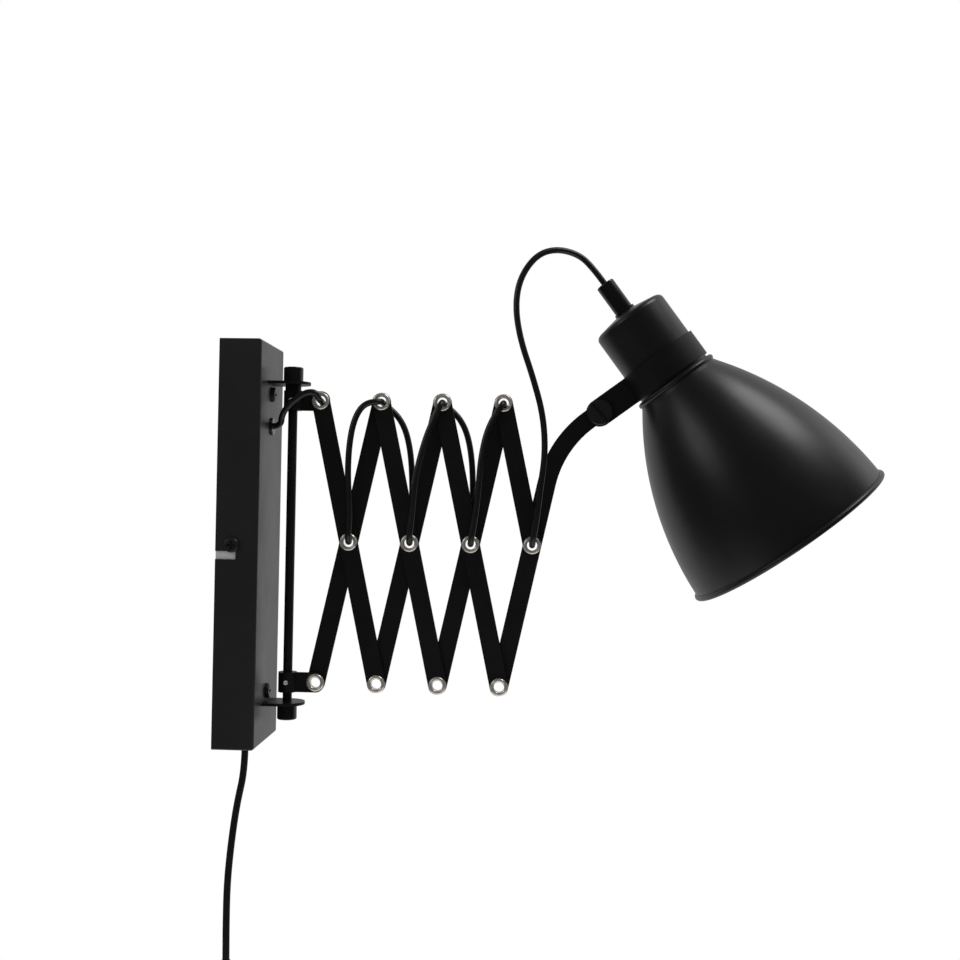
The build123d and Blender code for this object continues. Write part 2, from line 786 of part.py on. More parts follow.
arm_bush = bush(
    Plane(origin=(housing_depth, 0, arm_exit_z), x_dir=(0, 1, 0), z_dir=(1, 0, 0)),
    arm_cord_radius + cord_play,
)
finish(arm_bush, "arm_bush")
mains_bush = bush(
    Plane(origin=(mains_x, 0, -half_height), x_dir=(1, 0, 0), z_dir=(0, 0, -1)),
    mains_radius + cord_play,
)
finish(mains_bush, "mains_bush")

block_front = bracket_thickness + block_depth
poles = [(y, z) for y in (-pole_spacing / 2, pole_spacing / 2) for z in (-terminal_row / 2, terminal_row / 2)]
block_face = Plane(origin=(block_front, 0, block_z), x_dir=(0, 1, 0), z_dir=(1, 0, 0))
with BuildPart() as terminal_block:
    with BuildSketch(block_face):
        RectangleRounded(block_width, block_height, 1.0)
    extrude(amount=-block_depth)
    with BuildSketch(block_face):
        Rectangle(1.2, block_height)
    extrude(amount=-block_depth * 0.6, mode=Mode.SUBTRACT)
    with BuildSketch(block_face):
        with Locations(*poles):
            Circle(terminal_screw_radius + running_gap)
    extrude(amount=-terminal_screw_length - terminal_recess, mode=Mode.SUBTRACT)
finish(terminal_block, "terminal_block")

with BuildPart() as terminal_screws:
    with BuildSketch(block_face.offset(-terminal_recess)):
        with Locations(*poles):
            Circle(terminal_screw_radius)
    extrude(amount=-terminal_screw_length)
    with BuildSketch(block_face.offset(-terminal_recess)):
        with Locations(*poles):
            Rectangle(2 * terminal_screw_radius, 0.6)
    extrude(amount=-0.8, mode=Mode.SUBTRACT)
finish(terminal_screws, "terminal_screws")


# ---------------------------------------------------------------- cords
def bend_radii(points, end_share):
    """The largest arc at each corner: nearly half of an inner run, end_share of a run that ends there."""
    radii = []
    for k in range(1, len(points) - 1):
        before = Vector(*points[k]) - Vector(*points[k - 1])
        after = Vector(*points[k + 1]) - Vector(*points[k])
        room = min(
            before.length * (end_share if k == 1 else 0.45),
            after.length * (end_share if k == len(points) - 2 else 0.45),
        )
        radii.append(room / tan(radians(before.get_angle(after)) / 2))
    return radii


def cord(points, radius, name, end_share=0.45):
    """A round cord along straight runs joined by tangent arcs."""
    radii = bend_radii(points, end_share)
    with BuildPart() as piece:
        with BuildLine() as path:
            FilletPolyline(*points, radius=radii)
        run = path.wires()[0]
        with BuildSketch(Plane(origin=run @ 0, z_dir=run % 0)):
            Circle(radius)
        sweep()
    expected = pi * radius**2 * run.length
    print(
        f"{name}: length {run.length:.0f}, least bend {min(radii):.1f}, "
        f"volume against section x length {piece.part.volume / expected:.4f}"
    )
    finish(piece, name)


def behind_bar(i, x_offsets, z_offsets):
    """From a top eyelet down behind the falling bar to the crossing below it."""
    (x0, z0), (x1, z1) = top_pivot(i), middle_pivot(i)
    route = [(x0, 0, z0), (x0, cord_plane, z0)]
    route += [(x0 + dx, cord_plane, z0 - dz) for dx, dz in zip(x_offsets, z_offsets)]
    return route + [(x1, cord_plane, z1), (x1, 0, z1)]


def before_bar(i, offsets):
    """From a crossing up in front of the rising bar to the next top eyelet."""
    (x0, z0), (x1, z1) = middle_pivot(i), top_pivot(i + 1)
    route = [(x0, 0, z0), (x0, -cord_plane, z0)]
    route += [(x0 + dx, y, z0 + dz) for dx, y, dz in offsets]
    return route + [(x1, -cord_plane, z1), (x1, 0, z1)]


lip_x = housing_depth + bush_flange
t1_x, t1_z = top_pivot(0)
block_top = block_z + block_height / 2
block_mid_x = bracket_thickness + block_depth / 2
arm_cord_first = [
    (block_mid_x, 0, block_top),
    (block_mid_x, 0, 52),
    (10.5, 0, 72),
    (18, 0, arm_exit_z),
    (lip_x + 5, 0, arm_exit_z),
    (37.8, -8.0, 89.5),
    (43, -9.7, 97),
    (49.5, -9.9, 102.4),
    (56, -9.5, 106),
    (62, -8.8, 105.8),
    (t1_x, -cord_plane, t1_z),
    (t1_x, 0, t1_z),
]
cord(arm_cord_first, arm_cord_radius, "cord_to_arm", end_share=0.9)

slack_right = ([14, 20.5, 22.5], [12, 32, 62])
close_behind = ([6.5, 12.5, 18.5], [20, 46, 74])
for i, (dx, dz) in enumerate((close_behind, slack_right, slack_right, close_behind)):
    cord(behind_bar(i, dx, dz), arm_cord_radius, f"cord_behind_{i + 1}", end_share=0.9)

front_slack = (
    [(1.5, -6.4, 20), (-0.5, -6.8, 45), (0, -6.6, 68), (3.2, -6.3, 86.5), (10, -cord_plane, 97.5)],
    [(2.2, -6.3, 20), (3.6, -6.5, 45), (9.5, -6.3, 70), (15.5, -cord_plane, 86)],
    [(3, -6.3, 17), (5.2, -6.5, 38), (6.4, -6.4, 60), (11, -cord_plane, 82)],
)
for i, offsets in enumerate(front_slack):
    cord(before_bar(i, offsets), arm_cord_radius, f"cord_front_{i + 1}", end_share=0.9)

grip_end = rim_middle + back_up * grip_top
grip_lead = rim_middle + back_up * (grip_top + grip_lead_length)
arm_cord_loop = [
    (last_x, 0, last_z),
    (last_x, -cord_plane, last_z),
    (217.5, -8, 18),
    (220, -10.5, 42),
    (223, -12, 66),
    (221, -12.2, 92),
    (213.5, -11.5, 118),
    (204.5, -8.5, 144),
    (200.5, -5, 168),
    (203.5, -1.5, 188),
    (214.5, head_y, 204.8),
    (228.5, head_y, 209.6),
    (244.5, head_y, 205.8),
    (grip_lead.X, head_y, grip_lead.Z),
    (grip_end.X, head_y, grip_end.Z),
]
cord(arm_cord_loop, arm_cord_radius, "cord_to_head", end_share=0.9)

mains_inner = [
    (mains_x, 0, -half_height - bush_flange),
    (mains_x, 0, -108),
    (12, 3, -76),
    (9, -3, -44),
    (block_mid_x, 0, -16),
    (block_mid_x, 0, block_z - block_height / 2),
]
cord(mains_inner, mains_radius, "mains_inner_lead")

mains_route = [
    (mains_x, 0, -half_height - bush_flange),
    (mains_x, 0, -161),
    (10.6, -3, -183),
    (8.2, -7, -208),
    (7.0, -12, -236),
    (8.2, -17, -264),
    (switch_x, switch_y, -290),
    (switch_x, switch_y, switch_top),
]
cord(mains_route, mains_radius, "mains_cord")

# ---------------------------------------------------------------- inline switch
switch_face = switch_x + switch_depth / 2
switch_mid = switch_top - switch_height / 2
rocker_axis_x = switch_face - 1.0
pocket_depth = 5.0
with BuildPart() as switch_body:
    with BuildSketch(Plane.XY.offset(switch_top)):
        with Locations((switch_x, switch_y)):
            RectangleRounded(switch_depth, switch_width, switch_round)
    extrude(amount=-switch_height)
    fillet(switch_body.faces().filter_by(Plane.XY).edges(), radius=1.5)
    with BuildSketch(Plane.YZ.offset(switch_face)):
        with Locations((switch_y, switch_mid)):
            Rectangle(rocker_width + 2 * rocker_gap, rocker_length + 2 * rocker_gap + 1)
    extrude(amount=-pocket_depth, mode=Mode.SUBTRACT)
finish(switch_body, "switch_body")

rocker_plane = Plane(
    origin=(rocker_axis_x, switch_y + rocker_width / 2, switch_mid),
    x_dir=Vector(1, 0, 0).rotate(Axis.Y, rocker_turn),
    z_dir=(0, -1, 0),
)
half_rocker = rocker_length / 2
with BuildPart() as switch_rocker:
    with BuildSketch(rocker_plane):
        with BuildLine():
            Polyline(
                (-1.5, -half_rocker + 1.5),
                (2.4, -half_rocker),
                (1.4, 0),
                (2.4, half_rocker),
                (-1.5, half_rocker - 1.5),
                (-2.6, 0),
                close=True,
            )
        make_face()
    extrude(amount=rocker_width)
finish(switch_rocker, "switch_rocker")

# ---------------------------------------------------------------- coil of the put-away lead
switch_low = switch_top - switch_height
coil_y = switch_y + coil_radius
coil_z = switch_low - coil_drop


def coil_point(x, y, z):
    return x, coil_y + y, coil_z + z


class CoilPath:
    """Half turns about alternating middles; the side y < 0 always runs down."""

    def __init__(self):
        self.x = switch_x
        self.y = -coil_radius
        self.side = -1
        self.samples = []

    def sample(self, middle, radius, start_angle, x0, x1):
        steps = int(pi * radius / 1.5)
        for k in range(steps):
            angle = start_angle + pi * k / steps
            x = x0 + (x1 - x0) * k / steps
            self.samples.append((x, middle + radius * cos(angle), radius * sin(angle)))

    def half_turn(self, radius, climb=0.0):
        """Down and round below from y < 0, or up and over from y > 0."""
        middle = self.y - self.side * radius
        start_angle = pi if self.side < 0 else 0.0
        start = coil_point(self.x, self.y, 0)
        end_y = middle - self.side * radius
        self.sample(middle, radius, start_angle, self.x, self.x + climb)
        if climb:
            reach = sqrt(radius**2 + (climb / 2) ** 2)
            centre = Vector(*coil_point(self.x + climb / 2, middle, 0))
            crest = centre + Vector(0, 0, self.side * reach)
            finish_point = Vector(*coil_point(self.x + climb, end_y, 0))
            first = (Vector(*start) - centre + crest - centre).normalized() * reach + centre
            second = (finish_point - centre + crest - centre).normalized() * reach + centre
            ThreePointArc(start, first, crest)
            ThreePointArc(crest, second, finish_point)
        else:
            over = coil_point(self.x, middle, self.side * radius)
            ThreePointArc(start, over, coil_point(self.x, end_y, 0))
        self.x += climb
        self.y = end_y
        self.side = -self.side


coil_inner = coil_radius - coil_half_turns * coil_pitch / 2
route = CoilPath()
with BuildPart() as mains_coil:
    with BuildLine() as coil_line:
        Line(coil_point(switch_x, -coil_radius, coil_drop), coil_point(switch_x, -coil_radius, 0))
        for k in range(coil_half_turns):
            route.half_turn(coil_radius - coil_pitch / 4 - k * coil_pitch / 2)
        route.half_turn(coil_inner, climb=coil_layer)
        for k in range(coil_half_turns + 1):
            route.half_turn(coil_inner + coil_pitch / 4 + k * coil_pitch / 2)
        tail_start = coil_point(route.x, route.y, 0)
        tail_end = coil_point(route.x, route.y, -tail_length)
        Line(tail_start, tail_end)
    winding = coil_line.wires()[0]
    with BuildSketch(Plane(origin=winding @ 0, z_dir=winding % 0)):
        Circle(mains_radius)
    sweep()
coil_length = winding.length
least = min(
    dist(a, b)
    for j, a in enumerate(route.samples)
    for b in route.samples[j + int(pi * coil_inner / 3): ]
)
print(
    f"mains_coil: length {coil_length:.0f}, least bend {coil_inner:.1f}, least gap to itself "
    f"{least - 2 * mains_radius:.2f}, volume ratio "
    f"{mains_coil.part.volume / (pi * mains_radius**2 * coil_length):.4f}"
)
finish(mains_coil, "mains_coil")

tie_low = sqrt((coil_inner - mains_radius) ** 2 - (tie_width / 2) ** 2) - tie_gap
tie_high = coil_radius + coil_pitch / 4 + mains_radius + tie_gap
tie_left = switch_x - mains_radius - tie_gap
tie_right = switch_x + coil_layer + mains_radius + tie_gap
with BuildPart() as coil_tie:
    with BuildSketch(Plane.XZ.offset(-(coil_y + tie_width / 2))):
        with Locations(((tie_left + tie_right) / 2, coil_z + (tie_low + tie_high) / 2)):
            RectangleRounded(
                tie_right - tie_left + 2 * tie_thickness, tie_high - tie_low + 2 * tie_thickness, 2.5
            )
            RectangleRounded(tie_right - tie_left, tie_high - tie_low, 1.3, mode=Mode.SUBTRACT)
    extrude(amount=tie_width)
finish(coil_tie, "coil_tie")

# ---------------------------------------------------------------- plug
plug_x, plug_y, plug_top = tail_end
with BuildPart() as plug_body:
    with BuildSketch(Plane.XY.offset(plug_top)):
        with Locations((plug_x, plug_y)):
            RectangleRounded(plug_face, plug_face + 2, 2.5)
    with BuildSketch(Plane.XY.offset(plug_top - plug_neck - plug_taper)):
        with Locations((plug_x, plug_y)):
            RectangleRounded(plug_depth, plug_width * 0.8, 4.0)
    loft()
    with BuildSketch(Plane.XY.offset(plug_top - plug_neck - plug_taper)):
        with Locations((plug_x, plug_y)):
            RectangleRounded(plug_depth, plug_width * 0.8, 4.0)
    with BuildSketch(Plane.XY.offset(plug_top - plug_height)):
        with Locations((plug_x, plug_y)):
            RectangleRounded(plug_depth, plug_width, 4.0)
    loft()
finish(plug_body, "plug_body")

with BuildPart() as plug_pins:
    with BuildSketch(Plane.XY.offset(plug_top - plug_height)):
        with Locations((plug_x, plug_y - pin_spacing / 2), (plug_x, plug_y + pin_spacing / 2)):
            Circle(pin_radius)
    extrude(amount=-pin_length)
    fillet(plug_pins.faces().filter_by(Plane.XY).sort_by(Axis.Z)[:2].edges(), radius=1.0)
finish(plug_pins, "plug_pins")

print(f"pivot ({pivot_x:.3f}, {head_y:.3f}, {pivot_z:.3f}), rim middle {tuple(rim_middle)}")
print(f"pitch {pitch:.3f}, rise {rise:.3f}, first pivot {first_pivot_x:.2f}, top row {top_pivot_z:.3f}")
print(f"coil middle {coil_point(switch_x, 0, 0)}, tail end {tail_end}")
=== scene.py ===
import json
from math import cos, pi, radians, sin

import bmesh
import bpy
from mathutils import Matrix, Vector


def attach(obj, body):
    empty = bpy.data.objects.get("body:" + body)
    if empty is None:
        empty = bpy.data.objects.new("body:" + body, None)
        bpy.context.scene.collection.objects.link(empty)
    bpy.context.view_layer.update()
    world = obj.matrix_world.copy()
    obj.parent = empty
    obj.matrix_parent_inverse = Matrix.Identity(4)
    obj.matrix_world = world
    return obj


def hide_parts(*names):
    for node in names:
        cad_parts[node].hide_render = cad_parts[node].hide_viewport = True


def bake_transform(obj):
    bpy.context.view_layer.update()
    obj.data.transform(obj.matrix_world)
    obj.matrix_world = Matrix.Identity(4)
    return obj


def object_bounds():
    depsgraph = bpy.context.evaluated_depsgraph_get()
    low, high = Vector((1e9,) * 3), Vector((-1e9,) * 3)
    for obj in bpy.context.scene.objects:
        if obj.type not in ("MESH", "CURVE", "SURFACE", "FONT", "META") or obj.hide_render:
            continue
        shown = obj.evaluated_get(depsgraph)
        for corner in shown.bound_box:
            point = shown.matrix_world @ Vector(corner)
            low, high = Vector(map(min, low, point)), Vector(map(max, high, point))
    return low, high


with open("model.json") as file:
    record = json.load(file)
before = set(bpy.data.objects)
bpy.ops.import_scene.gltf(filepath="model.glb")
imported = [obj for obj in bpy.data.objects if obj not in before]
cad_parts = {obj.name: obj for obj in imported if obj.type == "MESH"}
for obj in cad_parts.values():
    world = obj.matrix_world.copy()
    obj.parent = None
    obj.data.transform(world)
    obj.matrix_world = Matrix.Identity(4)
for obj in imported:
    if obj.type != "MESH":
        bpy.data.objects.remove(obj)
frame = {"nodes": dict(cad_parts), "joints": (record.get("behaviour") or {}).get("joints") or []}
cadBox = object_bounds()
nodes = frame["nodes"]
joints = {j["name"]: j for j in frame["joints"]}
mm = 0.001


def pivot(name):
    return Vector(joints[name]["pos_m"])


topPivots = [pivot("extend")] + [pivot(f"top_{i}") for i in (2, 3, 4)]
crossPivots = [pivot(f"cross_{i}") for i in (1, 2, 3, 4)]
headPivot = pivot("tilt")
print("frame loaded:", len(nodes), "nodes")

# ---- camera at the photograph's place
cameraValues = {
    "place": (0.2225, -0.8337, 0.0310),
    "turn": 3.09,  # degrees towards the wall
    "rise": 1.06,
    "roll": 0.98,
    "lens": 44.64,
    "sensor": 36.0,
}


def makeCamera(v):
    turn, rise, roll = (radians(v[k]) for k in ("turn", "rise", "roll"))
    ahead = Vector((-sin(turn) * cos(rise), cos(turn) * cos(rise), sin(rise)))
    side = Vector((cos(turn), sin(turn), 0))
    top = side.cross(ahead)
    right = side * cos(roll) + top * sin(roll)
    up = top * cos(roll) - side * sin(roll)
    data = bpy.data.cameras.new("camera")
    data.lens = v["lens"]
    data.sensor_width = v["sensor"]
    data.sensor_fit = "HORIZONTAL"
    data.clip_start = 0.01
    camera = bpy.data.objects.new("camera", data)
    bpy.context.scene.collection.objects.link(camera)
    turned = Matrix((right, up, -ahead)).transposed().to_4x4()
    camera.matrix_world = Matrix.Translation(v["place"]) @ turned
    bpy.context.scene.camera = camera


makeCamera(cameraValues)
print("camera placed")


# ---- node helpers
def newNode(tree, kind, **settings):
    node = tree.nodes.new(kind)
    for key, value in settings.items():
        setattr(node, key, value)
    return node


def setInputs(node, values):
    for key, value in values.items():
        node.inputs[key].default_value = value


def makeGroup(name, inputs, outputs):
    tree = bpy.data.node_groups.new(name, "ShaderNodeTree")
    for socketName, kind, value in inputs:
        socket = tree.interface.new_socket(socketName, in_out="INPUT", socket_type=kind)
        if value is not None:
            socket.default_value = value
    for socketName, kind in outputs:
        tree.interface.new_socket(socketName, in_out="OUTPUT", socket_type=kind)
    return tree, tree.nodes.new("NodeGroupInput"), tree.nodes.new("NodeGroupOutput")


def mathNode(tree, operation, a, b=None, clamp=False):
    node = newNode(tree, "ShaderNodeMath", operation=operation, use_clamp=clamp)
    for i, value in enumerate((a, b)):
        if value is None:
            continue
        if hasattr(value, "is_linked"):
            tree.links.new(value, node.inputs[i])
        else:
            node.inputs[i].default_value = value
    return node.outputs[0]


def rangeNode(tree, value, fromLow, fromHigh, toLow, toHigh):
    node = newNode(tree, "ShaderNodeMapRange")
    tree.links.new(value, node.inputs["Value"])
    bounds = {"From Min": fromLow, "From Max": fromHigh, "To Min": toLow, "To Max": toHigh}
    for key, bound in bounds.items():
        if hasattr(bound, "is_linked"):
            tree.links.new(bound, node.inputs[key])
        else:
            node.inputs[key].default_value = bound
    return node.outputs["Result"]


# ---- effects shared by several finishes
def makeGrainGroup():
    tree, entry, leave = makeGroup(
        "fineGrain",
        [
            ("Scale", "NodeSocketFloat", 900.0),
            ("Depth", "NodeSocketFloat", 0.00003),
            ("Roughness Low", "NodeSocketFloat", 0.35),
            ("Roughness High", "NodeSocketFloat", 0.45),
            ("Patch Scale", "NodeSocketFloat", 25.0),
        ],
        [("Roughness", "NodeSocketFloat"), ("Normal", "NodeSocketVector"), ("Patches", "NodeSocketFloat")],
    )
    coords = newNode(tree, "ShaderNodeTexCoord")
    grain = newNode(tree, "ShaderNodeTexNoise")
    setInputs(grain, {"Detail": 3.0, "Roughness": 0.55})
    patches = newNode(tree, "ShaderNodeTexNoise")
    setInputs(patches, {"Detail": 4.0, "Roughness": 0.6, "Distortion": 0.3})
    bump = newNode(tree, "ShaderNodeBump")
    bump.inputs["Strength"].default_value = 1.0
    link = tree.links.new
    link(coords.outputs["Object"], grain.inputs["Vector"])
    link(coords.outputs["Object"], patches.inputs["Vector"])
    link(entry.outputs["Scale"], grain.inputs["Scale"])
    link(entry.outputs["Patch Scale"], patches.inputs["Scale"])
    link(grain.outputs["Fac"], bump.inputs["Height"])
    link(entry.outputs["Depth"], bump.inputs["Distance"])
    roughness = rangeNode(
        tree, patches.outputs["Fac"], 0.3, 0.7,
        entry.outputs["Roughness Low"], entry.outputs["Roughness High"],
    )
    link(roughness, leave.inputs["Roughness"])
    link(bump.outputs["Normal"], leave.inputs["Normal"])
    link(patches.outputs["Fac"], leave.inputs["Patches"])
    return tree


def makeDustGroup():
    # a little pale dust where a face looks up
    tree, entry, leave = makeGroup(
        "settledDust",
        [("Amount", "NodeSocketFloat", 0.04), ("Scale", "NodeSocketFloat", 120.0)],
        [("Mask", "NodeSocketFloat")],
    )
    coords = newNode(tree, "ShaderNodeTexCoord")
    apart = newNode(tree, "ShaderNodeSeparateXYZ")
    specks = newNode(tree, "ShaderNodeTexNoise")
    setInputs(specks, {"Detail": 6.0, "Roughness": 0.7})
    link = tree.links.new
    link(coords.outputs["Normal"], apart.inputs["Vector"])
    link(coords.outputs["Object"], specks.inputs["Vector"])
    link(entry.outputs["Scale"], specks.inputs["Scale"])
    upward = rangeNode(tree, apart.outputs["Z"], 0.2, 1.0, 0.0, 1.0)
    speckled = rangeNode(tree, specks.outputs["Fac"], 0.45, 0.75, 0.2, 1.0)
    mask = mathNode(tree, "MULTIPLY", upward, speckled, clamp=True)
    mask = mathNode(tree, "MULTIPLY", mask, entry.outputs["Amount"], clamp=True)
    link(mask, leave.inputs["Mask"])
    return tree


grainGroup = makeGrainGroup()
dustGroup = makeDustGroup()


def placeGroup(tree, group, values):
    node = newNode(tree, "ShaderNodeGroup", node_tree=group)
    setInputs(node, values)
    return node


def mixColour(tree, factor, first, second):
    node = newNode(tree, "ShaderNodeMix", data_type="RGBA")
    for key, value in ((0, factor), (6, first), (7, second)):
        if hasattr(value, "is_linked"):
            tree.links.new(value, node.inputs[key])
        else:
            node.inputs[key].default_value = (*value, 1.0) if isinstance(value, tuple) else value
    return node.outputs[2]


# ---- finishes
finishes = {
    "housingPaint": {
        "colour": (0.0088, 0.0088, 0.0095), "second": (0.0112, 0.0112, 0.012),
        "grain": 1100.0, "depth": 0.000035,
        "rough": (0.33, 0.40), "specular": 0.5, "dust": 0.02,
    },
    "armPaint": {
        "colour": (0.0030, 0.0030, 0.0033), "second": (0.0045, 0.0045, 0.0049),
        "grain": 1500.0, "depth": 0.00002,
        "rough": (0.36, 0.46), "specular": 0.27, "dust": 0.008,
    },
    "shadePaint": {
        "colour": (0.0027, 0.0027, 0.0031), "second": (0.0042, 0.0042, 0.0047),
        "grain": 1500.0, "depth": 0.000022,
        "rough": (0.33, 0.39), "specular": 0.5, "dust": 0.012,
    },
    "screwBlack": {
        "colour": (0.007, 0.007, 0.0075), "second": (0.014, 0.014, 0.015),
        "grain": 1800.0, "depth": 0.00001,
        "rough": (0.25, 0.38), "specular": 0.5, "metal": 0.2, "dust": 0.0,
    },
    "glossBlack": {
        "colour": (0.004, 0.004, 0.0043), "second": (0.006, 0.006, 0.0064),
        "grain": 700.0, "depth": 0.000006,
        "rough": (0.13, 0.20), "specular": 0.5, "dust": 0.012,
    },
    "mouldedBlack": {
        "colour": (0.008, 0.008, 0.0084), "second": (0.012, 0.012, 0.0126),
        "grain": 1300.0, "depth": 0.00003,
        "rough": (0.38, 0.48), "specular": 0.45, "dust": 0.02,
    },
    "cordJacket": {
        "colour": (0.0040, 0.0040, 0.0043), "second": (0.0062, 0.0062, 0.0067),
        "grain": 900.0, "depth": 0.00002,
        "rough": (0.27, 0.36), "specular": 0.45, "dust": 0.015,
    },
    "nickel": {
        "colour": (0.80, 0.76, 0.69), "second": (0.66, 0.61, 0.54),
        "grain": 1600.0, "depth": 0.000008,
        "rough": (0.20, 0.34), "specular": 0.5, "metal": 0.82, "dust": 0.0,
    },
    "brass": {
        "colour": (0.72, 0.53, 0.27), "second": (0.58, 0.41, 0.19),
        "grain": 1400.0, "depth": 0.00001,
        "rough": (0.22, 0.38), "specular": 0.5, "metal": 1.0, "dust": 0.0,
    },
    "bulbCap": {
        "colour": (0.70, 0.70, 0.71), "second": (0.58, 0.58, 0.6),
        "grain": 1400.0, "depth": 0.00001,
        "rough": (0.28, 0.40), "specular": 0.5, "metal": 1.0, "dust": 0.0,
    },
    "whiteNylon": {
        "colour": (0.80, 0.80, 0.77), "second": (0.72, 0.72, 0.69),
        "grain": 900.0, "depth": 0.00002,
        "rough": (0.42, 0.55), "specular": 0.45, "dust": 0.0,
    },
    "opalGlass": {
        "colour": (0.88, 0.88, 0.86), "second": (0.83, 0.83, 0.81),
        "grain": 400.0, "depth": 0.000004,
        "rough": (0.16, 0.24), "specular": 0.5, "dust": 0.0,
    },
}
dustColour = (0.30, 0.29, 0.27)


def makeFinish(name, v):
    material = bpy.data.materials.new(name)
    material.use_nodes = True
    tree = material.node_tree
    shader = tree.nodes["Principled BSDF"]
    grain = placeGroup(
        tree,
        grainGroup,
        {
            "Scale": v["grain"], "Depth": v["depth"],
            "Roughness Low": v["rough"][0], "Roughness High": v["rough"][1],
        },
    )
    colour = mixColour(tree, grain.outputs["Patches"], v["colour"], v["second"])
    if v["dust"]:
        dust = placeGroup(tree, dustGroup, {"Amount": v["dust"]})
        colour = mixColour(tree, dust.outputs["Mask"], colour, dustColour)
    tree.links.new(colour, shader.inputs["Base Color"])
    tree.links.new(grain.outputs["Roughness"], shader.inputs["Roughness"])
    tree.links.new(grain.outputs["Normal"], shader.inputs["Normal"])
    setInputs(shader, {"Metallic": v.get("metal", 0.0), "Specular IOR Level": v["specular"]})
    return material


materials = {name: makeFinish(name, values) for name, values in finishes.items()}


# ---- zinc plate: crystals from a cell pattern
zincValues = {
    "light": (0.80, 0.80, 0.78), "dark": (0.66, 0.67, 0.67), "cells": 260.0, "metal": 0.55,
    "grain": 1500.0, "depth": 0.00001, "rough": (0.30, 0.46),
}


def makeZinc(v):
    material = bpy.data.materials.new("zincPlate")
    material.use_nodes = True
    tree = material.node_tree
    shader = tree.nodes["Principled BSDF"]
    coords = newNode(tree, "ShaderNodeTexCoord")
    cells = newNode(tree, "ShaderNodeTexVoronoi", distance="MANHATTAN")
    setInputs(cells, {"Scale": v["cells"], "Randomness": 1.0})
    grain = placeGroup(
        tree,
        grainGroup,
        {
            "Scale": v["grain"], "Depth": v["depth"],
            "Roughness Low": v["rough"][0], "Roughness High": v["rough"][1],
        },
    )
    tree.links.new(coords.outputs["Object"], cells.inputs["Vector"])
    level = rangeNode(tree, cells.outputs["Color"], 0.0, 1.0, 0.0, 1.0)
    tree.links.new(mixColour(tree, level, v["light"], v["dark"]), shader.inputs["Base Color"])
    tree.links.new(grain.outputs["Roughness"], shader.inputs["Roughness"])
    tree.links.new(grain.outputs["Normal"], shader.inputs["Normal"])
    shader.inputs["Metallic"].default_value = v["metal"]
    return material


materials["zinc"] = makeZinc(zincValues)

# ---- shade: satin black outside, matt white inside
tiltFromLevel = 53.5
shadeValues = {
    "inside": (0.80, 0.80, 0.78),
    "insideRough": 0.62,
    "toMouth": Vector((cos(radians(tiltFromLevel)), 0, -sin(radians(tiltFromLevel)))),
    "across": Vector((sin(radians(tiltFromLevel)), 0, cos(radians(tiltFromLevel)))),
    "pivotToRim": 0.1445,
    "pivotToAxis": 0.0556,
}
rimMiddle = headPivot + shadeValues["toMouth"] * shadeValues["pivotToRim"]
rimMiddle += shadeValues["across"] * shadeValues["pivotToAxis"]


def makeShadePaint(v, paint):
    material = makeFinish("shadeTwoSided", paint)
    tree = material.node_tree
    shader = tree.nodes["Principled BSDF"]
    link = tree.links.new
    coords = newNode(tree, "ShaderNodeTexCoord")
    offset = newNode(tree, "ShaderNodeVectorMath", operation="SUBTRACT")
    offset.inputs[1].default_value = rimMiddle
    along = newNode(tree, "ShaderNodeVectorMath", operation="DOT_PRODUCT")
    along.inputs[1].default_value = v["toMouth"]
    onAxis = newNode(tree, "ShaderNodeVectorMath", operation="SCALE")
    onAxis.inputs[0].default_value = v["toMouth"]
    radial = newNode(tree, "ShaderNodeVectorMath", operation="SUBTRACT")
    unit = newNode(tree, "ShaderNodeVectorMath", operation="NORMALIZE")
    facing = newNode(tree, "ShaderNodeVectorMath", operation="DOT_PRODUCT")
    link(coords.outputs["Object"], offset.inputs[0])
    link(offset.outputs["Vector"], along.inputs[0])
    link(along.outputs["Value"], onAxis.inputs["Scale"])
    link(offset.outputs["Vector"], radial.inputs[0])
    link(onAxis.outputs["Vector"], radial.inputs[1])
    link(radial.outputs["Vector"], unit.inputs[0])
    link(unit.outputs["Vector"], facing.inputs[0])
    link(coords.outputs["Normal"], facing.inputs[1])
    inside = rangeNode(tree, facing.outputs["Value"], -0.45, -0.55, 0.0, 1.0)
    colour = shader.inputs["Base Color"].links[0].from_socket
    rough = shader.inputs["Roughness"].links[0].from_socket
    link(mixColour(tree, inside, colour, v["inside"]), shader.inputs["Base Color"])
    link(rangeNode(tree, inside, 0.0, 1.0, rough, v["insideRough"]), shader.inputs["Roughness"])
    return material


materials["shade"] = makeShadePaint(shadeValues, finishes["shadePaint"])
print("finishes made:", len(materials))

# ---- finishes on the CAD pieces
finishOfNode = {
    "wall_bracket": "zinc", "housing": "housingPaint", "pan_screws": "screwBlack", "ears": "armPaint",
    "terminal_block": "whiteNylon", "terminal_screws": "brass", "mains_bush": "glossBlack",
    "arm_bush": "glossBlack", "pivot_rod": "armPaint", "rod_caps": "glossBlack", "spacer": "armPaint",
    "upper_sleeve": "armPaint", "lower_sleeve": "armPaint", "upper_set_screw": "zinc",
    "lower_drag_screw": "zinc", "head_clamp": "armPaint", "pivot_screw": "screwBlack",
    "pivot_nut": "screwBlack", "lampholder_cover": "shadePaint", "cord_grip": "glossBlack",
    "lampholder": "mouldedBlack", "socket_shell": "brass", "shade_ring": "mouldedBlack", "shade": "shade",
    "bulb_base": "bulbCap", "bulb_globe": "opalGlass", "plug_body": "mouldedBlack", "plug_pins": "nickel",
    "switch_body": "mouldedBlack", "switch_rocker": "glossBlack", "coil_tie": "mouldedBlack",
}
